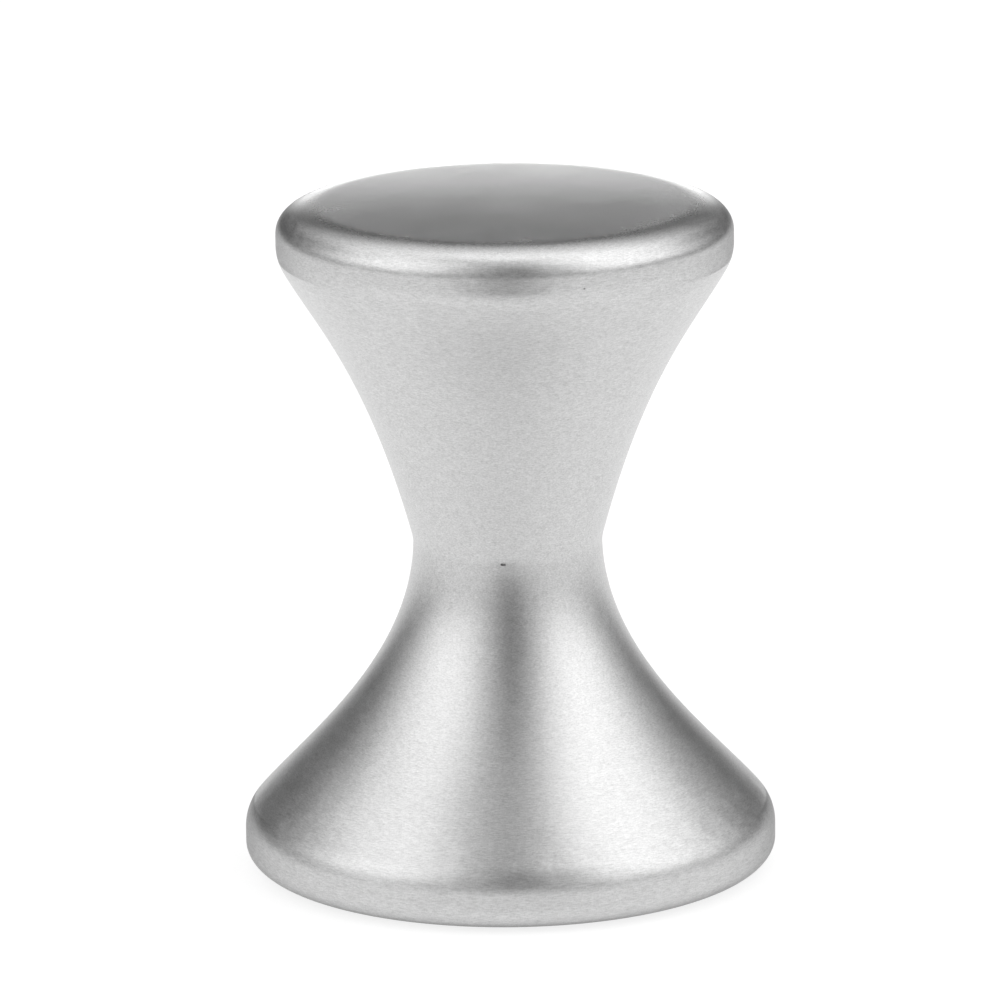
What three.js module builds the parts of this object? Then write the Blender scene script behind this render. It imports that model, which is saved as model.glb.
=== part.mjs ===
// Double-ended espresso tamper in satin stainless steel, standing on its large face.
// Two turned face plates close two spun sheet shells, which are butt-welded neck to neck at the waist.
// Millimetres, +Z up, origin at the centre of the large tamping face.
import * as THREE from "three";

// Driving dimensions of the large end, which stands on z = 0.
const LARGE_FACE_DIAMETER = 57.5;
const LARGE_END_HEIGHT = 35.7;
const LARGE_PLATE_THICKNESS = 7.5;
const LARGE_RIM_HEIGHT = 4.1; // from the face to the end of the straight band
const LARGE_EDGE_WIDTH = 3; // radial size of the rounded edge
const LARGE_EDGE_HEIGHT = 2.6; // axial size of the rounded edge
const LARGE_SHOULDER_RADIUS = 4.5;
const LARGE_FLARE_ANGLE = 41.2; // degrees from the axis, where the shell leaves the shoulder
const LARGE_FLARE_REACH = 8.2; // how far the flare keeps that angle
const LARGE_NECK_ANGLE = 2.9; // degrees from the axis, at the waist
const LARGE_NECK_REACH = 12.8; // how far the neck keeps that angle

// Driving dimensions of the small end, which is the same shape turned over.
const SMALL_FACE_DIAMETER = 49;
const SMALL_END_HEIGHT = 37.5;
const SMALL_PLATE_THICKNESS = 6.6;
const SMALL_RIM_HEIGHT = 5.2;
const SMALL_EDGE_WIDTH = 4;
const SMALL_EDGE_HEIGHT = 2.7;
const SMALL_SHOULDER_RADIUS = 2.8;
const SMALL_FLARE_ANGLE = 29.4;
const SMALL_FLARE_REACH = 6.7;
const SMALL_NECK_ANGLE = 14.7;
const SMALL_NECK_REACH = 18.9;

// Crown of each tamping face: how far its edge lies behind its flat middle.
const LARGE_CROWN = 0;
const SMALL_CROWN = 0.3;
const FLAT_MIDDLE_RADIUS = 12;

// Sheet, register and weld sizes, which both ends share.
const NECK_DIAMETER = 20.4;
const SHEET_THICKNESS = 1.5;
const REGISTER_HEIGHT = 1.2; // spigot of a plate that centres the shell's mouth
const REGISTER_CLEARANCE = 0.15;
const RIM_WELD_WIDTH = 1.2; // along the axis, at the surface
const RIM_WELD_DEPTH = 0.9; // less than the sheet, so that the shell keeps a root face
const WAIST_WELD_WIDTH = 1;
const WAIST_WELD_ROOT = 0.2; // width at the inside of the sheet, at full penetration

// Facets of the model.
const SEGMENTS = 48;
const CROWN_STEPS = 3;
const EDGE_STEPS = 5;
const SHOULDER_STEPS = 3;
const FLARE_STEPS = 12;

const HEIGHT = LARGE_END_HEIGHT + SMALL_END_HEIGHT;
const NECK_RADIUS = NECK_DIAMETER / 2;

const LARGE_END = {
  radius: LARGE_FACE_DIAMETER / 2,
  height: LARGE_END_HEIGHT,
  plate: LARGE_PLATE_THICKNESS,
  rim: LARGE_RIM_HEIGHT,
  edgeWidth: LARGE_EDGE_WIDTH,
  edgeHeight: LARGE_EDGE_HEIGHT,
  shoulder: LARGE_SHOULDER_RADIUS,
  flareAngle: THREE.MathUtils.degToRad(LARGE_FLARE_ANGLE),
  flareReach: LARGE_FLARE_REACH,
  neckAngle: THREE.MathUtils.degToRad(LARGE_NECK_ANGLE),
  neckReach: LARGE_NECK_REACH,
  crown: LARGE_CROWN,
  place: (profile) => profile,
};

const SMALL_END = {
  radius: SMALL_FACE_DIAMETER / 2,
  height: SMALL_END_HEIGHT,
  plate: SMALL_PLATE_THICKNESS,
  rim: SMALL_RIM_HEIGHT,
  edgeWidth: SMALL_EDGE_WIDTH,
  edgeHeight: SMALL_EDGE_HEIGHT,
  shoulder: SMALL_SHOULDER_RADIUS,
  flareAngle: THREE.MathUtils.degToRad(SMALL_FLARE_ANGLE),
  flareReach: SMALL_FLARE_REACH,
  neckAngle: THREE.MathUtils.degToRad(SMALL_NECK_ANGLE),
  neckReach: SMALL_NECK_REACH,
  crown: SMALL_CROWN,
  place: (profile) => profile.map((p) => point(p.x, HEIGHT - p.y)).reverse(),
};

// A profile is a list of points: x is the radius, and y the height above the end's own face.
function point(radius, height) {
  return new THREE.Vector2(radius, height);
}

// Numbers from 0 to 1, both included.
function shares(steps) {
  return Array.from({ length: steps + 1 }, (_, i) => i / steps);
}

// The face, from the axis: a flat middle, then a curve that falls away to the rounded edge.
function faceCurve(end) {
  const edgeStart = end.radius - end.edgeWidth;
  if (end.crown === 0) return [point(0, 0), point(edgeStart, 0)];
  const fall = shares(CROWN_STEPS).map((t) =>
    point(THREE.MathUtils.lerp(FLAT_MIDDLE_RADIUS, edgeStart, t), end.crown * t * t),
  );
  return [point(0, 0), ...fall];
}

// The elliptical quarter that rounds the face into the side band.
function edgeCurve(end) {
  const quarter = Math.PI / 2;
  return shares(EDGE_STEPS).map((t) =>
    point(
      end.radius - end.edgeWidth * (1 - Math.sin(t * quarter)),
      end.crown + end.edgeHeight * (1 - Math.cos(t * quarter)),
    ),
  );
}

// The arc that turns the side band into the flare.
function shoulderCurve(end) {
  return shares(SHOULDER_STEPS).map((t) =>
    point(
      end.radius - end.shoulder * (1 - Math.cos(t * end.flareAngle)),
      end.rim + end.shoulder * Math.sin(t * end.flareAngle),
    ),
  );
}

// The flare, from the shoulder's end to the edge of the waist weld.
function flareCurve(end) {
  const start = shoulderCurve(end).at(-1);
  const finish = point(NECK_RADIUS, end.height - WAIST_WELD_WIDTH / 2);
  const along = (angle, length) => point(-Math.sin(angle) * length, Math.cos(angle) * length);
  const curve = new THREE.CubicBezierCurve(
    start,
    start.clone().add(along(end.flareAngle, end.flareReach)),
    finish.clone().sub(along(end.neckAngle, end.neckReach)),
    finish,
  );
  return shares(FLARE_STEPS).map((t) => curve.getPoint(t));
}

// Drops each point that repeats the one before it.
function withoutRepeats(profile) {
  const least = 1e-3;
  return profile.filter((p, i) => i === 0 || p.distanceTo(profile[i - 1]) > least);
}

// The outside of one end, from the middle of its face to the waist weld.
function outline(end) {
  return withoutRepeats([
    ...faceCurve(end),
    ...edgeCurve(end),
    ...shoulderCurve(end),
    ...flareCurve(end),
  ]);
}

// The point where a rising profile reaches a height.
function pointAt(profile, height) {
  const next = profile.findIndex((p) => p.y > height);
  const [a, b] = [profile[next - 1], profile[next]];
  return a.clone().lerp(b, (height - a.y) / (b.y - a.y));
}

// The inside of the sheet: its outside moved in along the normals, from the plate to the weld's root.
function sheetInside(end) {
  const outside = withoutRepeats([...shoulderCurve(end), ...flareCurve(end)]);
  const moved = outside.map((p, i) => {
    const before = outside[Math.max(i - 1, 0)];
    const after = outside[Math.min(i + 1, outside.length - 1)];
    const run = after.clone().sub(before).normalize();
    return point(p.x - run.y * SHEET_THICKNESS, p.y + run.x * SHEET_THICKNESS);
  });
  const root = point(NECK_RADIUS - SHEET_THICKNESS, end.height - WAIST_WELD_ROOT / 2);
  const mouth = pointAt(moved, end.plate);
  return [mouth, ...moved.filter((p) => p.y > end.plate), root];
}

// The V groove between plate and shell: its lower lip, its root and its upper lip.
function rimGroove(end) {
  const outside = outline(end);
  const seam = pointAt(outside, end.plate);
  return {
    plateLip: pointAt(outside, end.plate - RIM_WELD_WIDTH / 2),
    root: point(seam.x - RIM_WELD_DEPTH, end.plate),
    shellLip: pointAt(outside, end.plate + RIM_WELD_WIDTH / 2),
    seam,
  };
}

// The face plate, with the spigot that centres the shell's mouth.
function plateProfile(end) {
  const { plateLip, root } = rimGroove(end);
  const top = end.plate + REGISTER_HEIGHT;
  const register = pointAt(sheetInside(end), top).x - REGISTER_CLEARANCE;
  const outside = outline(end).filter((p) => p.y < plateLip.y);
  return [...outside, plateLip, root, point(register, end.plate), point(register, top), point(0, top)];
}

// The spun shell, open at its mouth and at its neck.
function shellProfile(end) {
  const { root, shellLip } = rimGroove(end);
  const outside = outline(end).filter((p) => p.y > shellLip.y);
  const inside = sheetInside(end).reverse();
  return [root, shellLip, ...outside, ...inside, root];
}

// The bead that fills the rim groove, dressed flush with both pieces.
function rimWeldProfile(end) {
  const { plateLip, root, shellLip, seam } = rimGroove(end);
  return [root, plateLip, seam, shellLip, root];
}

// The bead that joins the two necks through the whole sheet.
function waistWeldProfile() {
  const inside = NECK_RADIUS - SHEET_THICKNESS;
  const [low, high] = [LARGE_END_HEIGHT - WAIST_WELD_WIDTH / 2, LARGE_END_HEIGHT + WAIST_WELD_WIDTH / 2];
  const rootLow = point(inside, LARGE_END_HEIGHT - WAIST_WELD_ROOT / 2);
  const rootHigh = point(inside, LARGE_END_HEIGHT + WAIST_WELD_ROOT / 2);
  return [rootLow, point(NECK_RADIUS, low), point(NECK_RADIUS, high), rootHigh, rootLow];
}

const turnedSteel = new THREE.MeshStandardMaterial({ color: 0xc4c4c4, roughness: 0.32, metalness: 1 });
const spunSteel = new THREE.MeshStandardMaterial({ color: 0xc8c8c8, roughness: 0.3, metalness: 1 });
const dressedWeld = new THREE.MeshStandardMaterial({ color: 0xbdbdbd, roughness: 0.38, metalness: 1 });

// A solid of revolution about Z from a profile that closes on itself or on the axis.
function turned(name, profile, material) {
  const geometry = new THREE.LatheGeometry(profile, SEGMENTS).rotateX(Math.PI / 2);
  const mesh = new THREE.Mesh(geometry, material);
  mesh.name = name;
  return mesh;
}

const tamper = new THREE.Group();
tamper.name = "espresso_tamper";
for (const [size, end] of Object.entries({ large: LARGE_END, small: SMALL_END })) {
  tamper.add(
    turned(`${size}_face_plate`, end.place(plateProfile(end)), turnedSteel),
    turned(`${size}_rim_weld`, end.place(rimWeldProfile(end)), dressedWeld),
    turned(`${size}_shell`, end.place(shellProfile(end)), spunSteel),
  );
}
tamper.add(turned("waist_weld", waistWeldProfile(), dressedWeld));

export default tamper;
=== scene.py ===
"""A double-ended coffee tamper in satin steel, on a pale studio floor."""

import math

import bmesh
import bpy
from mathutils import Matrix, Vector
from mathutils.geometry import interpolate_bezier


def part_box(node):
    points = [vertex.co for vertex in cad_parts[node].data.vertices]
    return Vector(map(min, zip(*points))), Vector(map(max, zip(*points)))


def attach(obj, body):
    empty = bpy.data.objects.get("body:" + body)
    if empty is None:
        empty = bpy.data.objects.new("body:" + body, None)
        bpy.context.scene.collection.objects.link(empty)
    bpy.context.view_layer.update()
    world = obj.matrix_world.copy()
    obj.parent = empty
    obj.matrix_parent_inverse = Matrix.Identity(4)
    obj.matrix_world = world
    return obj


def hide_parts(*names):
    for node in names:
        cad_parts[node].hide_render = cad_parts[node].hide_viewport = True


bl_info = {
    "name": "Double-ended tamper",
    "version": (1, 0, 0),
    "blender": (4, 5, 0),
    "location": "View3D > Sidebar > Tamper",
    "description": "Builds a double-ended coffee tamper in satin steel, with its stage",
    "category": "Add Mesh",
}

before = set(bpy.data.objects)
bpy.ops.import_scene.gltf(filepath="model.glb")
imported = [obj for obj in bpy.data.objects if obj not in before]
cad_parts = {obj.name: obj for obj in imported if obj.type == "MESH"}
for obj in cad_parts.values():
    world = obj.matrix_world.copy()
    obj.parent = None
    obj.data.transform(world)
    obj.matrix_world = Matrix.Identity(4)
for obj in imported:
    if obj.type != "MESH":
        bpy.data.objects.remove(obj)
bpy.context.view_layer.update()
LARGE_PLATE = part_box("large_face_plate")
SMALL_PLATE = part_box("small_face_plate")
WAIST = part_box("waist_weld")
HEIGHT = SMALL_PLATE[1].z
CAD_WELD_HALF = (WAIST[1].z - WAIST[0].z) / 2
SPIN_STEPS = 256
ARC_STEPS = 24
FLARE_STEPS = 96
ROUND = 0.5523  # handle length of a quarter circle drawn as one Bezier span
BEAD_HANDLE = 0.4  # handle length of the waist bead's span, as a share of its height
SAME_PLACE = 1e-7  # points closer than this are one
SHARP_ANGLE = math.radians(25)

# Hand grinding round the welds: how far it reaches from each, in metres
RIM_GRINDING = 0.005
WAIST_GRINDING = 0.003
SMALL_RIM_SHIFT = 0.001  # how far above the small rim weld its grinding is centred

# The pore in the waist weld
PORE_AZIMUTH = -3.2
PORE_DROP = 0.0001  # how far it lies below the waist seam
PORE_HALF_WIDTH = 0.00026
PORE_HALF_HEIGHT = 0.00012
PORE_INSETS = (0.00003, 0.00005)
PORE_FACING = -0.7  # only faces that look outwards at least this squarely are pressed

# Marks, and the painted shade at the pore: three half sizes in metres, and how much light is kept at the
# middle
# Painted shade in and round the pore in the waist weld, where its walls hide the light
PORE_SHADE = ((0.00032, 0.0004, 0.00018), 0.25)
SPECK = ((0.00016, 0.00016, 0.00013), 0.4)
SPECK_AZIMUTH = 19.7
FACE_SCRATCH = ((0.0016, 0.00035, 0.001), 0.8)
FACE_SCRATCH_PLACE = (-0.0154, 0.007)
MARK_CORE = 0.4  # share of a mark's half size that is evenly dark

# Brushing, as (width, cells to one radian, fineness), and unevenness, as (size, fineness)
SCRATCHES = (0.00011, 45.0, 2.0)
STREAKS = (0.0005, 14.0, 3.0)
GRIT = (0.00016, 1.0)
PATCHES = (0.006, 3.0)
SWIRL = (0.0024, 2.0)

# How strongly each shows: tint and relief as shares of the scratches', gloss as added roughness
GRIT_TINT = 0.5
STREAK_TINT = 0.3
PATCH_TINT = 0.12
GRIT_RELIEF = 0.2
SWIRL_RELIEF = 0.3  # beside the patches
SCRATCH_GLOSS = 0.08
STREAK_GLOSS = 0.1
PATCH_GLOSS = 0.08

# The face plates beside the shells
# FACE_DEPTH also sets how far a face's painted shade reaches down the side
FACE_DEPTH = 0.0012  # below a face, over which its finish turns into the side's
FACE_LINES = 0.4
FACE_GRIT = 3.0
PLATE_GRAIN = 0.5
SMALL_PLATE_STRETCH = 0.5
ACROSS_THE_LINES = 0.25  # a quarter of a turn, so that highlights stretch across the brushing

# The stage
FLOOR_RADIUS = 3.0
FLOOR_SIDES = 96
FLOOR_ROUGHNESS = 0.9
CARD_DEPTH = 0.5
CARD_LIFT = 0.0005
CARD_COLOUR = (0.03, 0.03, 0.03, 1)
WHITE = (1, 1, 1, 1)
SENSOR_WIDTH = 36
NEAR_CLIP = 0.01
AIM = Vector((-0.00079, 0, 0.00352))  # from the tamper's middle to the point that the camera looks at


# Sizes and finishes that a user would change


def number(name, description, default, **kind):
    return bpy.props.FloatProperty(name=name, description=description, default=default, **kind)


def length(name, description, default):
    return number(name, description, default, unit="LENGTH", precision=5)


def angle(name, description, degrees):
    return number(name, description, math.radians(degrees), subtype="ANGLE")


def share(name, description, default):
    return number(name, description, default, min=0, max=1, subtype="FACTOR")


def grey(name, description, level):
    return bpy.props.FloatVectorProperty(
        name=name, description=description, default=(level, level, level), subtype="COLOR", min=0, max=1
    )


class TamperEnd(bpy.types.PropertyGroup):
    """One end of the tamper, measured from its own face"""

    radius: length("Face radius", "Radius of the tamping face over its rounded edge", LARGE_PLATE[1].x)
    seam: length("Waist height", "From the face to the waist seam", (WAIST[0].z + WAIST[1].z) / 2)
    plate: length("Plate thickness", "From the face to the seam with the shell", 0.0075)
    crown: length("Crown", "How far the face's edge lies behind its middle", 0.0)
    edge_width: length("Edge width", "Radial size of the rounded edge", 0.0036)
    edge_height: length("Edge height", "Axial size of the rounded edge", 0.0026)
    edge_pull: share("Edge fullness", "How far the face runs on into its rounded edge", ROUND)
    rim: length("Rim height", "From the face to the end of the straight band", 0.0041)
    shoulder: length("Shoulder radius", "Radius of the arc from the band into the flare", 0.0045)
    flare_angle: angle("Flare angle", "Angle from the axis where the shell leaves the shoulder", 41.2)
    flare_reach: length("Flare reach", "How far the flare keeps its angle", 0.0082)
    neck_angle: angle("Neck angle", "Angle from the axis at the waist", 2.9)
    neck_reach: length("Neck reach", "How far the neck keeps its angle", 0.0128)


class TamperJoining(bpy.types.PropertyGroup):
    """Sheet, spigots and welds, which both ends share"""

    neck: length("Neck radius", "Outside radius at the waist", WAIST[1].x)
    sheet: length("Sheet thickness", "Wall of the spun shells", 0.0015)
    spigot: length("Spigot height", "Low step of a plate that centres the shell", 0.0012)
    spigot_gap: length("Spigot clearance", "Room between the spigot and the shell", 0.00015)
    weld_width: length("Rim weld width", "Width of a dressed rim weld at the surface", 0.0012)
    weld_depth: length("Rim weld depth", "Depth of a rim weld into the seam", 0.0009)
    waist_weld_width: length("Waist weld width", "Width of the dressed waist weld", 0.0022)
    pinhole: length("Pinhole depth", "Depth of the pore left in the waist weld", 0.00035)


class TamperFinish(bpy.types.PropertyGroup):
    """Colour, brushing and painted shade of the steel"""

    steel: grey("Steel", "Colour of the brushed steel", 0.61)
    weld: grey("Weld", "Colour of the dressed welds", 0.6)
    gloss_spread: share("Brushed roughness", "How far the brushed shells spread their highlights", 0.37)
    face_spread: share("Face roughness", "How far the tamping faces spread their highlights", 0.24)
    stretch: share("Highlight stretch", "How far highlights stretch across the brushing", 0.5)
    # Painted shade: darkens the tamping faces for the light a rough face loses at a grazing view
    painted_face_shade: share("Face tone", "Brightness of the tamping faces beside the shells", 0.76)
    edge_tone: share("Face edge tone", "How much light the face plates keep at a grazing view", 0.5)
    speckle: share("Speckle", "Strength of the light and dark grain of the brushing", 0.7)
    grain: length("Grain depth", "Depth of the brushing lines", 0.000004)
    waves: length("Grinding waves", "Height of the unevenness left where the welds were ground", 0.00012)


class TamperStage(bpy.types.PropertyGroup):
    """Camera, floor and lights"""

    distance: length("Camera distance", "From the camera to the middle of the tamper", 0.932)
    height_angle: angle("Camera height", "Angle of the camera above the floor", 14.45)
    roll: angle("Camera roll", "Turn of the camera about its own view", 0.59)
    lens: number("Lens", "Focal length in millimetres", 311.4, min=1)
    floor: grey("Floor", "Colour of the floor", 0.3)
    glow: number("Floor glow", "Light that the floor gives by itself", 0.75)
    card_gap: length("Front card distance", "From the tamper's axis to the dark card in front", 0.2)
    card_width: length("Front card width", "Width of the dark card in front", 0.16)
    surround: number("Surround", "Brightness of the dim room", 0.01)
    right_light: number("Right softbox", "Brightness of the right softbox", 1.72)
    left_light: number("Left softbox", "Brightness of the left softbox", 1.59)
    back_light: number("Back softbox", "Brightness of the high back softbox", 1.16)
    back_strip: number("Back strip", "Brightness of the low back wall", 6.0)
    back_fill: number("Back fill", "Brightness of the wall behind", 0.085)
    back_glow: number("Back glow", "Brightness of the wall's upper part", 0.55)
    ceiling: number("Ceiling", "Brightness of the ceiling", 1.05)


# Profiles: lists of (radius, height) points, measured from the end's own face


def point(radius, height):
    return Vector((radius, 0, height))


def span(start, start_handle, end_handle, end, steps):
    """Points along one Bezier span, both ends included."""
    return interpolate_bezier(start, start_handle, end_handle, end, steps + 1)


def quarter(start, corner, end, steps, pull=ROUND):
    """A rounded corner from start to end, drawn round the corner point."""
    return span(start, start.lerp(corner, pull), end.lerp(corner, ROUND), end, steps)


def face_curve(end):
    """The face, from its middle: flat, or a shallow dome that falls away to the rounded edge."""
    middle = point(0, 0)
    edge = point(end.radius - end.edge_width, end.crown)
    if end.crown == 0:
        return [middle, edge]
    halfway = point(edge.x / 2, 0)
    return span(middle, middle.lerp(halfway, 2 / 3), edge.lerp(halfway, 2 / 3), edge, ARC_STEPS)


def edge_curve(end):
    """The rounded edge, which goes on from the face's own slope."""
    start = point(end.radius - end.edge_width, end.crown)
    finish = point(end.radius, end.crown + end.edge_height)
    slope = 2 * end.crown / start.x
    corner = point(end.radius, end.crown + slope * end.edge_width)
    return quarter(start, corner, finish, ARC_STEPS, end.edge_pull)


def inward_lean(angle):
    """The direction of a wall that rises and leans in towards the axis."""
    return Vector((-math.sin(angle), 0, math.cos(angle)))


def shoulder_end(end):
    turn = end.flare_angle
    return point(end.radius - end.shoulder * (1 - math.cos(turn)), end.rim + end.shoulder * math.sin(turn))


def shoulder_curve(end):
    """The arc that turns the band into the flare."""
    start = point(end.radius, end.rim)
    finish = shoulder_end(end)
    handle = 4 / 3 * math.tan(end.flare_angle / 4) * end.shoulder
    lean = inward_lean(end.flare_angle)
    return span(start, start + Vector((0, 0, handle)), finish - lean * handle, finish, ARC_STEPS)


def flare_curve(end, neck):
    """The flare, from the shoulder to the waist."""
    start = shoulder_end(end)
    finish = point(neck, end.seam - CAD_WELD_HALF)
    start_handle = start + inward_lean(end.flare_angle) * end.flare_reach
    finish_handle = finish - inward_lean(end.neck_angle) * end.neck_reach
    return span(start, start_handle, finish_handle, finish, FLARE_STEPS)


def without_repeats(profile):
    kept = [profile[0]]
    for p in profile[1:]:
        if (p - kept[-1]).length > SAME_PLACE:
            kept.append(p)
    return kept


def outline(end, joining):
    """The outside of one end, from the middle of its face to the waist weld."""
    parts = face_curve(end) + edge_curve(end) + shoulder_curve(end) + flare_curve(end, joining.neck)
    return without_repeats(parts)


def point_at(profile, height):
    """The point where a rising profile reaches a height."""
    for a, b in zip(profile, profile[1:]):
        if b.z > height:
            return a.lerp(b, (height - a.z) / (b.z - a.z))
    raise ValueError(f"the profile ends below {height}")


def above(profile, height):
    return [p for p in profile if p.z > height]


def below(profile, height):
    return [p for p in profile if p.z < height]


def inner_wall(end, joining):
    """The sheet's inside, from the plate to the waist weld."""
    outside = without_repeats(shoulder_curve(end) + flare_curve(end, joining.neck))
    moved = []
    for i, p in enumerate(outside):
        run = (outside[min(i + 1, len(outside) - 1)] - outside[max(i - 1, 0)]).normalized()
        moved.append(p + Vector((-run.z, 0, run.x)) * joining.sheet)
    return moved


def rim_groove(end, joining):
    outside = outline(end, joining)
    seam = point_at(outside, end.plate)
    half = joining.weld_width / 2
    return {
        "plate_lip": point_at(outside, end.plate - half),
        "root": seam - Vector((joining.weld_depth, 0, 0)),
        "shell_lip": point_at(outside, end.plate + half),
        "seam": seam,
    }


def plate_profile(end, joining):
    groove = rim_groove(end, joining)
    top = end.plate + joining.spigot
    spigot = point_at(inner_wall(end, joining), top).x - joining.spigot_gap
    outside = below(outline(end, joining), groove["plate_lip"].z)
    inside = [groove["root"], point(spigot, end.plate), point(spigot, top), point(0, top)]
    return outside + [groove["plate_lip"]] + inside


def shell_lip(end, joining):
    """Where the shell meets the waist weld, outside and inside."""
    height = end.seam - joining.waist_weld_width / 2
    outside = point_at(outline(end, joining), height)
    inside = point_at(inner_wall(end, joining), height)
    return outside, inside


def shell_profile(end, joining):
    groove = rim_groove(end, joining)
    lip, inner_lip = shell_lip(end, joining)
    outside = [p for p in outline(end, joining) if groove["shell_lip"].z < p.z < lip.z]
    wall = inner_wall(end, joining)
    mouth = point_at(wall, end.plate)
    inside = [p for p in wall if end.plate < p.z < inner_lip.z]
    return [groove["root"], groove["shell_lip"]] + outside + [lip, inner_lip] + inside[::-1] + [mouth]


def rim_weld_profile(end, joining):
    groove = rim_groove(end, joining)
    middle = [p for p in outline(end, joining) if groove["plate_lip"].z < p.z < groove["shell_lip"].z]
    return [groove["root"], groove["plate_lip"]] + middle + [groove["shell_lip"]]


def waist_weld_profile(large, small, joining):
    """The dressed bead, from the large shell's lip round to the small shell's lip."""
    low, low_inside = shell_lip(large, joining)
    high, high_inside = (turned_over(p) for p in shell_lip(small, joining))
    reach = (high.z - low.z) * BEAD_HANDLE
    low_handle = low + inward_lean(large.neck_angle) * reach
    high_handle = high - inward_lean(-small.neck_angle) * reach
    outside = span(low, low_handle, high_handle, high, ARC_STEPS)
    return outside + [high_inside, low_inside]


def turned_over(p):
    """A point of the small end, measured from the floor."""
    return point(p.x, HEIGHT - p.z)


# Pieces


def spun(name, profile, closed=False, pore=None):
    """Spins a profile about the tamper's axis into one smooth closed piece."""
    bm = bmesh.new()
    verts = [bm.verts.new(p) for p in profile]
    pairs = list(zip(verts, verts[1:]))
    if closed:
        pairs.append((verts[-1], verts[0]))
    edges = [bm.edges.new(pair) for pair in pairs]
    turn = {"cent": (0, 0, 0), "axis": (0, 0, 1), "angle": math.tau, "steps": SPIN_STEPS, "use_merge": True}
    bmesh.ops.spin(bm, geom=verts + edges, **turn)
    bmesh.ops.remove_doubles(bm, verts=bm.verts, dist=SAME_PLACE)
    bmesh.ops.recalc_face_normals(bm, faces=bm.faces)
    if pore is not None:
        press_pore(bm, *pore)
    return finished(name, bm)


def press_pore(bm, place, depth):
    """Presses a small pore into the piece's outside, with slanting walls and a small floor."""
    place = Vector(place)
    inward = Vector((-place.x, -place.y, 0)).normalized()
    mouth = []
    for face in bm.faces:
        offset = face.calc_center_median() - place
        side = abs(offset.cross(inward).z)
        inside = side < PORE_HALF_WIDTH and abs(offset.z) < PORE_HALF_HEIGHT
        if inside and face.normal.dot(inward) < PORE_FACING:
            mouth.append(face)
    if not mouth:
        raise RuntimeError("no face lies where the pore goes")
    for thickness in PORE_INSETS:
        bmesh.ops.inset_region(bm, faces=mouth, thickness=thickness, depth=0)
        verts = {v for face in mouth for v in face.verts}
        bmesh.ops.translate(bm, verts=list(verts), vec=inward * depth / len(PORE_INSETS))


def finished(name, bm):
    """The object of a finished mesh, smooth but for its sharp corners."""
    mesh = bpy.data.meshes.new(name)
    bm.to_mesh(mesh)
    bm.free()
    mesh.shade_smooth()
    mesh.set_sharp_from_angle(angle=SHARP_ANGLE)
    piece = bpy.data.objects.new(name, mesh)
    bpy.context.scene.collection.objects.link(piece)
    return piece


def fitted(piece, node, material):
    """Puts a piece in the place of its CAD node."""
    piece.data.materials.append(material)
    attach(piece, "root")
    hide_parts(node)


# Finishes


class Nodes:
    """Short calls for a material's nodes."""

    def __init__(self, tree):
        self.tree = tree

    def add(self, kind, inputs=None, **settings):
        node = self.tree.nodes.new(kind)
        for key, value in settings.items():
            setattr(node, key, value)
        for key, value in (inputs or {}).items():
            if isinstance(value, bpy.types.NodeSocket):
                self.tree.links.new(value, node.inputs[key])
            else:
                node.inputs[key].default_value = value
        return node

    def math(self, operation, *values):
        return self.add("ShaderNodeMath", dict(enumerate(values)), operation=operation).outputs[0]

    def vector(self, operation, *values):
        return self.add("ShaderNodeVectorMath", dict(enumerate(values)), operation=operation)

    def between(self, value, low, high, to_low=0.0, to_high=1.0, smooth=False):
        """Carries a value from one range to another."""
        kind = "SMOOTHSTEP" if smooth else "LINEAR"
        inputs = {"Value": value, "From Min": low, "From Max": high, "To Min": to_low, "To Max": to_high}
        return self.add("ShaderNodeMapRange", inputs, interpolation_type=kind).outputs[0]


def near(nodes, height, centre, reach):
    """1 at a height and 0 further away than reach."""
    away = nodes.math("ABSOLUTE", nodes.math("SUBTRACT", height, centre))
    return nodes.between(away, 0.0, reach, 1.0, 0.0, smooth=True)


class Mark:
    """A small darker spot: a mark left by use or by the making, or painted shade."""

    def __init__(self, place, sizes, kept):
        self.place = place
        self.sizes = sizes
        self.kept = kept

    def shade(self, nodes, place):
        """1 away from the mark, and the light it keeps at its middle."""
        offset = nodes.vector("SUBTRACT", place, self.place).outputs[0]
        scaled = nodes.vector("DIVIDE", offset, self.sizes).outputs[0]
        away = nodes.vector("LENGTH", scaled).outputs["Value"]
        return nodes.between(away, MARK_CORE, 1.0, self.kept, 1.0, smooth=True)


def on_side(azimuth, radius, height):
    """A place on the side: azimuth 0 is the front, and 90 the right."""
    turn = math.radians(azimuth)
    return (math.sin(turn) * radius, -math.cos(turn) * radius, height)


class Brushing:
    """Where a piece's brushing is coarse, rough or marked, and where shade is painted on it."""

    def __init__(self, stretch, roughness, seams, marks=(), face=None):
        self.stretch = stretch
        self.roughness = roughness
        self.seams = seams
        self.marks = marks
        self.face = face


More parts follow.
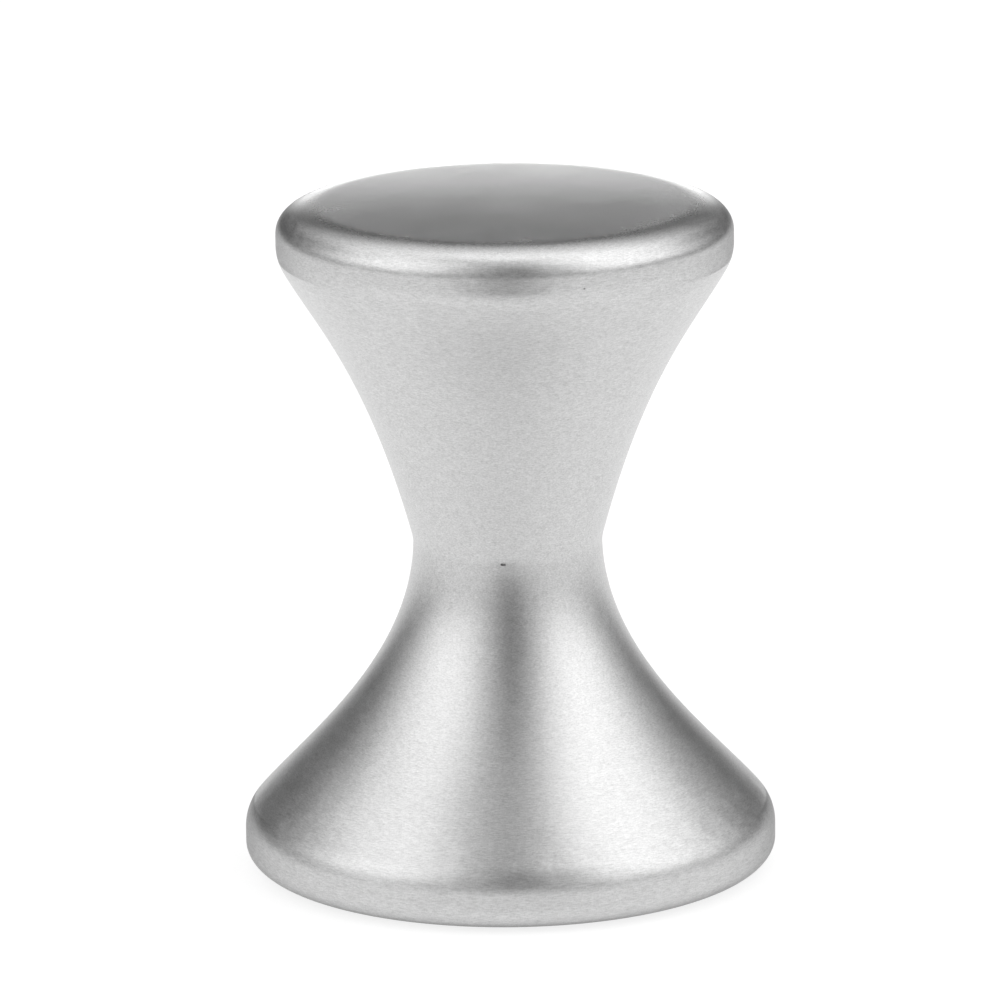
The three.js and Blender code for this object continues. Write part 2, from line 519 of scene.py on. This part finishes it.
def brushed_steel(name, colour, finish, brushing):
    """Steel brushed round its axis, with scratches, coarser streaks, worn patches and grinding waves."""
    material = bpy.data.materials.new(name)
    material.use_nodes = True
    nodes = Nodes(material.node_tree)
    shader = material.node_tree.nodes["Principled BSDF"]
    place = nodes.add("ShaderNodeTexCoord").outputs["Object"]
    across = nodes.vector("MULTIPLY", place, (1, 1, 0)).outputs[0]
    radius = nodes.vector("LENGTH", across).outputs["Value"]
    outward = nodes.vector("NORMALIZE", across).outputs[0]
    height = nodes.add("ShaderNodeSeparateXYZ", {0: place}).outputs["Z"]

    def lines(width, cells, detail):
        """Scratches round the axis, from -0.5 to 0.5: as wide as given, with so many cells to one radian."""
        along = nodes.vector("MULTIPLY", outward, (cells, cells, 0)).outputs[0]
        up = nodes.add("ShaderNodeCombineXYZ", {"Z": nodes.math("DIVIDE", height, width)}).outputs[0]
        where = nodes.vector("ADD", along, up).outputs[0]
        inputs = {"Vector": where, "W": nodes.math("DIVIDE", radius, width), "Scale": 1.0, "Detail": detail}
        noise = nodes.add("ShaderNodeTexNoise", inputs, noise_dimensions="4D").outputs[0]
        return nodes.math("SUBTRACT", noise, 0.5)

    def cloud(size, detail):
        """Soft unevenness of a given size, from -0.5 to 0.5."""
        inputs = {"Vector": place, "Scale": 1 / size, "Detail": detail}
        noise = nodes.add("ShaderNodeTexNoise", inputs, noise_dimensions="3D").outputs[0]
        return nodes.math("SUBTRACT", noise, 0.5)

    def total(*pairs):
        """The sum of values, each times its own weight."""
        whole = None
        for value, weight in pairs:
            part = nodes.math("MULTIPLY", value, weight)
            whole = part if whole is None else nodes.math("ADD", whole, part)
        return whole

    scratches = lines(*SCRATCHES)
    streaks = lines(*STREAKS)
    grit = cloud(*GRIT)
    patches = cloud(*PATCHES)
    swirl = cloud(*SWIRL)
    face_shade = None
    level = brushing.roughness
    if brushing.face is not None:
        on_face = near(nodes, height, brushing.face, FACE_DEPTH)
        # Painted shade on the faces, for the light a rough face loses at a grazing view
        face_shade = nodes.between(on_face, 0.0, 1.0, 1.0, finish.painted_face_shade)
        level = nodes.between(on_face, 0.0, 1.0, brushing.roughness, finish.face_spread)
        depth = nodes.between(on_face, 0.0, 1.0, 1.0, FACE_LINES)
        scratches = nodes.math("MULTIPLY", scratches, depth)
        streaks = nodes.math("MULTIPLY", streaks, depth)
        grit = nodes.math("MULTIPLY", grit, nodes.between(on_face, 0.0, 1.0, 1.0, FACE_GRIT))

    s = finish.speckle
    tint = total(
        (scratches, s), (grit, s * GRIT_TINT), (streaks, s * STREAK_TINT), (patches, s * PATCH_TINT)
    )
    bright = nodes.math("ADD", tint, 1.0)
    if face_shade is not None:
        bright = nodes.math("MULTIPLY", bright, face_shade)
    for mark in brushing.marks:
        bright = nodes.math("MULTIPLY", bright, mark.shade(nodes, place))
    base = nodes.vector("MULTIPLY", tuple(colour), bright).outputs[0]
    material.node_tree.links.new(base, shader.inputs["Base Color"])

    spread = total((streaks, STREAK_GLOSS), (patches, PATCH_GLOSS), (scratches, SCRATCH_GLOSS))
    material.node_tree.links.new(nodes.math("ADD", spread, level), shader.inputs["Roughness"])

    ground = near(nodes, height, *brushing.seams[0])
    for seam in brushing.seams[1:]:
        ground = nodes.math("MAXIMUM", ground, near(nodes, height, *seam))
    uneven = total((patches, finish.waves), (swirl, finish.waves * SWIRL_RELIEF))
    waves = nodes.math("MULTIPLY", uneven, ground)
    grain = finish.grain if brushing.face is None else finish.grain * PLATE_GRAIN
    relief = nodes.math("ADD", total((scratches, grain), (grit, grain * GRIT_RELIEF)), waves)
    bump = nodes.add("ShaderNodeBump", {"Height": relief, "Distance": 1.0, "Strength": 1.0})
    material.node_tree.links.new(bump.outputs[0], shader.inputs["Normal"])

    around = nodes.vector("CROSS_PRODUCT", (0, 0, 1), outward).outputs[0]
    kind = {"vector_type": "VECTOR", "convert_from": "OBJECT", "convert_to": "WORLD"}
    tangent = nodes.add("ShaderNodeVectorTransform", {0: around}, **kind)
    material.node_tree.links.new(tangent.outputs[0], shader.inputs["Tangent"])
    shader.inputs["Metallic"].default_value = 1
    shader.inputs["Anisotropic"].default_value = brushing.stretch
    shader.inputs["Anisotropic Rotation"].default_value = ACROSS_THE_LINES
    if brushing.face is not None:
        shader.inputs["Specular Tint"].default_value = (*(finish.edge_tone,) * 3, 1)
    return material


# Operators


class Builder:
    """What every piece's operator shares."""

    bl_options = {"REGISTER", "UNDO"}

    def settings(self, context):
        scene = context.scene
        return scene.tamper_large, scene.tamper_small, scene.tamper_joining, scene.tamper_finish

    def seams(self, context):
        """Heights that were ground by hand, each with how far the grinding reaches."""
        large, small = self.settings(context)[:2]
        small_rim = HEIGHT - small.plate + SMALL_RIM_SHIFT
        return (large.plate, RIM_GRINDING), (small_rim, RIM_GRINDING), (large.seam, WAIST_GRINDING)


class TAMPER_OT_face_plates(Builder, bpy.types.Operator):
    """Turns the two face plates"""

    bl_idname = "tamper.face_plates"
    bl_label = "Face plates"

    def execute(self, context):
        large, small, joining, finish = self.settings(context)
        seams = self.seams(context)
        speck = Mark(on_side(SPECK_AZIMUTH, small.radius, HEIGHT - small.rim), *SPECK)
        scratch = Mark((*FACE_SCRATCH_PLACE, HEIGHT), *FACE_SCRATCH)
        stretch = finish.stretch * SMALL_PLATE_STRETCH
        top = Brushing(stretch, finish.gloss_spread, seams, (speck, scratch), HEIGHT)
        steel = brushed_steel("turned_steel", finish.steel, finish, top)
        plate = spun("small_plate", [turned_over(p) for p in plate_profile(small, joining)])
        fitted(plate, "small_face_plate", steel)
        base = Brushing(finish.stretch, finish.gloss_spread, seams, (), 0.0)
        steel = brushed_steel("turned_steel_base", finish.steel, finish, base)
        plate = spun("large_plate", plate_profile(large, joining))
        fitted(plate, "large_face_plate", steel)
        return {"FINISHED"}


class TAMPER_OT_shells(Builder, bpy.types.Operator):
    """Spins the two flared shells"""

    bl_idname = "tamper.shells"
    bl_label = "Shells"

    def execute(self, context):
        large, small, joining, finish = self.settings(context)
        brushing = Brushing(finish.stretch, finish.gloss_spread, self.seams(context))
        steel = brushed_steel("spun_steel", finish.steel, finish, brushing)
        shell = spun("large_flare", shell_profile(large, joining), closed=True)
        fitted(shell, "large_shell", steel)
        shell = spun("small_flare", [turned_over(p) for p in shell_profile(small, joining)], closed=True)
        fitted(shell, "small_shell", steel)
        return {"FINISHED"}


class TAMPER_OT_welds(Builder, bpy.types.Operator):
    """Lays and dresses the two rim welds and the waist weld"""

    bl_idname = "tamper.welds"
    bl_label = "Welds"

    def execute(self, context):
        large, small, joining, finish = self.settings(context)
        pore = on_side(PORE_AZIMUTH, joining.neck, large.seam - PORE_DROP)
        # Painted shade in and round the pore, darkening the weld's colour there
        pore_shade = Mark(pore, *PORE_SHADE)
        brushing = Brushing(finish.stretch, finish.gloss_spread, self.seams(context), marks=(pore_shade,))
        steel = brushed_steel("dressed_weld", finish.weld, finish, brushing)
        weld = spun("large_seam", rim_weld_profile(large, joining), closed=True)
        fitted(weld, "large_rim_weld", steel)
        weld = spun("small_seam", [turned_over(p) for p in rim_weld_profile(small, joining)], closed=True)
        fitted(weld, "small_rim_weld", steel)
        profile = waist_weld_profile(large, small, joining)
        weld = spun("waist_seam", profile, closed=True, pore=(pore, joining.pinhole))
        fitted(weld, "waist_weld", steel)
        return {"FINISHED"}


class TAMPER_OT_stage(bpy.types.Operator):
    """Sets the floor, the lights and the camera"""

    bl_idname = "tamper.stage"
    bl_label = "Stage"
    bl_options = {"REGISTER", "UNDO"}

    def execute(self, context):
        stage = context.scene.tamper_stage
        lay_floor(stage)
        lay_front_card(stage)
        hang_lights(stage)
        place_camera(stage)
        return {"FINISHED"}


def lay_floor(stage):
    """Lays a round pale floor that gives a little light of its own."""
    bm = bmesh.new()
    bmesh.ops.create_circle(bm, cap_ends=True, segments=FLOOR_SIDES, radius=FLOOR_RADIUS)
    mesh = bpy.data.meshes.new("floor")
    bm.to_mesh(mesh)
    bm.free()
    floor = bpy.data.objects.new("floor", mesh)
    bpy.context.scene.collection.objects.link(floor)
    material = bpy.data.materials.new("pale_floor")
    material.use_nodes = True
    shader = material.node_tree.nodes["Principled BSDF"]
    shader.inputs["Base Color"].default_value = (*stage.floor, 1)
    shader.inputs["Roughness"].default_value = FLOOR_ROUGHNESS
    shader.inputs["Emission Color"].default_value = WHITE
    shader.inputs["Emission Strength"].default_value = stage.glow
    mesh.materials.append(material)


def lay_front_card(stage):
    """Lays a dark card on the floor in front. Only reflections see it, and it gives them their dark core."""
    bm = bmesh.new()
    bmesh.ops.create_grid(bm, x_segments=1, y_segments=1, size=0.5)
    bmesh.ops.scale(bm, verts=bm.verts, vec=(stage.card_width, CARD_DEPTH, 1))
    bmesh.ops.translate(bm, verts=bm.verts, vec=(0, -stage.card_gap - CARD_DEPTH / 2, CARD_LIFT))
    mesh = bpy.data.meshes.new("front_card")
    bm.to_mesh(mesh)
    bm.free()
    card = bpy.data.objects.new("front_card", mesh)
    card.visible_camera = False
    card.visible_shadow = False
    bpy.context.scene.collection.objects.link(card)
    material = bpy.data.materials.new("dark_card")
    material.use_nodes = True
    shader = material.node_tree.nodes["Principled BSDF"]
    shader.inputs["Base Color"].default_value = CARD_COLOUR
    shader.inputs["Roughness"].default_value = 1.0
    mesh.materials.append(material)


class Softbox:
    """A soft patch of light in the room: its place, its reach and how soft its edges are, in degrees.

    Azimuth 0 is the front, and 90 the right. Elevation 0 is the horizon."""

    def __init__(self, azimuth, half_width, side_edge, low, low_edge, high, high_edge):
        self.azimuth = azimuth
        self.half_width = half_width
        self.side_edge = side_edge
        self.low = low
        self.low_edge = low_edge
        self.high = high
        self.high_edge = high_edge

    def glow(self, nodes, azimuth, elevation):
        """1 inside the softbox, and 0 outside its soft edges."""
        if abs(self.azimuth) == 180:
            away = nodes.math("SUBTRACT", 180.0, nodes.math("ABSOLUTE", azimuth))
        else:
            away = nodes.math("ABSOLUTE", nodes.math("SUBTRACT", azimuth, self.azimuth))
        edge = self.side_edge
        across = nodes.between(away, self.half_width - edge, self.half_width + edge, 1.0, 0.0, smooth=True)
        edge = self.low_edge
        over = nodes.between(elevation, self.low - edge, self.low + edge, 0.0, 1.0, smooth=True)
        edge = self.high_edge
        under = nodes.between(elevation, self.high - edge, self.high + edge, 1.0, 0.0, smooth=True)
        return nodes.math("MULTIPLY", across, nodes.math("MULTIPLY", over, under))


RIGHT_SOFTBOX = Softbox(72.8, half_width=41.3, side_edge=35, low=10.2, low_edge=4, high=73.9, high_edge=3)
LEFT_SOFTBOX = Softbox(-65.4, half_width=41.2, side_edge=35, low=9.3, low_edge=4, high=67.2, high_edge=5.5)
BACK_SOFTBOX = Softbox(180, half_width=70, side_edge=10, low=41.6, low_edge=6, high=90, high_edge=8)
BACK_STRIP = Softbox(180, half_width=8, side_edge=4, low=-5, low_edge=1, high=8.4, high_edge=2.8)
BACK_FILL = Softbox(180, half_width=58.6, side_edge=10, low=-30, low_edge=4, high=42.4, high_edge=4)
BACK_GLOW = Softbox(180, half_width=42, side_edge=10, low=28, low_edge=7, high=42.4, high_edge=4)
# The ceiling goes all the way round, and has no upper end
CEILING = Softbox(0, half_width=400, side_edge=1, low=74.7, low_edge=23.4, high=120, high_edge=1)


def hang_lights(stage):
    """Lights the room with softboxes that are far away compared with the tamper."""
    world = bpy.data.worlds.new("studio")
    world.use_nodes = True
    nodes = Nodes(world.node_tree)
    background = world.node_tree.nodes["Background"]
    way = nodes.add("ShaderNodeTexCoord").outputs["Generated"]
    axes = nodes.add("ShaderNodeSeparateXYZ", {0: way}).outputs
    front = nodes.math("MULTIPLY", axes["Y"], -1.0)
    azimuth = nodes.math("DEGREES", nodes.math("ARCTAN2", axes["X"], front))
    elevation = nodes.math("DEGREES", nodes.math("ARCSINE", axes["Z"]))
    room = stage.surround
    for box, brightness in (
        (RIGHT_SOFTBOX, stage.right_light),
        (LEFT_SOFTBOX, stage.left_light),
        (BACK_SOFTBOX, stage.back_light),
        (BACK_STRIP, stage.back_strip),
        (BACK_FILL, stage.back_fill),
        (BACK_GLOW, stage.back_glow),
        (CEILING, stage.ceiling),
    ):
        glow = nodes.math("MULTIPLY", box.glow(nodes, azimuth, elevation), brightness)
        room = nodes.math("ADD", glow, room)
    seen = nodes.add("ShaderNodeLightPath").outputs["Is Camera Ray"]
    strength = nodes.math("MAXIMUM", room, seen)
    world.node_tree.links.new(strength, background.inputs["Strength"])
    background.inputs["Color"].default_value = WHITE
    bpy.context.scene.world = world
    bpy.context.scene.view_settings.view_transform = "Standard"


def place_camera(stage):
    """Places the camera in front, a little above the tamper."""
    lens = bpy.data.cameras.new("camera")
    lens.lens = stage.lens
    lens.sensor_width = SENSOR_WIDTH
    lens.clip_start = NEAR_CLIP
    camera = bpy.data.objects.new("camera", lens)
    middle = Vector((0, 0, HEIGHT / 2))
    e = stage.height_angle
    camera.location = middle + Vector((0, -math.cos(e), math.sin(e))) * stage.distance
    look = (middle + AIM - camera.location).to_track_quat("-Z", "Y")
    camera.rotation_euler = look.to_euler()
    camera.rotation_euler.rotate_axis("Z", -stage.roll)
    bpy.context.scene.collection.objects.link(camera)
    bpy.context.scene.camera = camera


class TAMPER_PT_panel(bpy.types.Panel):
    """Buttons for the tamper's pieces and its stage"""

    bl_idname = "TAMPER_PT_panel"
    bl_label = "Tamper"
    bl_space_type = "VIEW_3D"
    bl_region_type = "UI"
    bl_category = "Tamper"

    def draw(self, context):
        for operator in OPERATORS:
            self.layout.operator(operator.bl_idname)
        for group in GROUPS:
            settings = getattr(context.scene, group)
            box = self.layout.box()
            box.label(text=group.replace("_", " ").capitalize())
            for name in settings.bl_rna.properties.keys():
                if name not in ("rna_type", "name"):
                    box.prop(settings, name)


OPERATORS = (TAMPER_OT_face_plates, TAMPER_OT_shells, TAMPER_OT_welds, TAMPER_OT_stage)
GROUPS = {
    "tamper_large": TamperEnd,
    "tamper_small": TamperEnd,
    "tamper_joining": TamperJoining,
    "tamper_finish": TamperFinish,
    "tamper_stage": TamperStage,
}
CLASSES = (TamperEnd, TamperJoining, TamperFinish, TamperStage, *OPERATORS, TAMPER_PT_panel)


def register():
    for cls in CLASSES:
        bpy.utils.register_class(cls)
    for name, group in GROUPS.items():
        setattr(bpy.types.Scene, name, bpy.props.PointerProperty(type=group))


def unregister():
    for name in GROUPS:
        delattr(bpy.types.Scene, name)
    for cls in reversed(CLASSES):
        bpy.utils.unregister_class(cls)


def shape_small_end(end):
    """The small end differs from the large one in size, crown and flare."""
    end.radius = SMALL_PLATE[1].x
    end.seam = HEIGHT - (WAIST[0].z + WAIST[1].z) / 2
    end.plate = 0.0066
    end.crown = 0.0003
    end.edge_width = 0.0048
    end.edge_height = 0.0031
    end.edge_pull = 0.7
    end.rim = 0.0046
    end.shoulder = 0.005
    end.flare_angle = math.radians(29.4)
    end.flare_reach = 0.0067
    end.neck_angle = math.radians(14.7)
    end.neck_reach = 0.0189


def main():
    register()
    shape_small_end(bpy.context.scene.tamper_small)
    bpy.ops.tamper.face_plates()
    bpy.ops.tamper.shells()
    bpy.ops.tamper.welds()
    bpy.ops.tamper.stage()


if __name__ == "__main__":
    main()
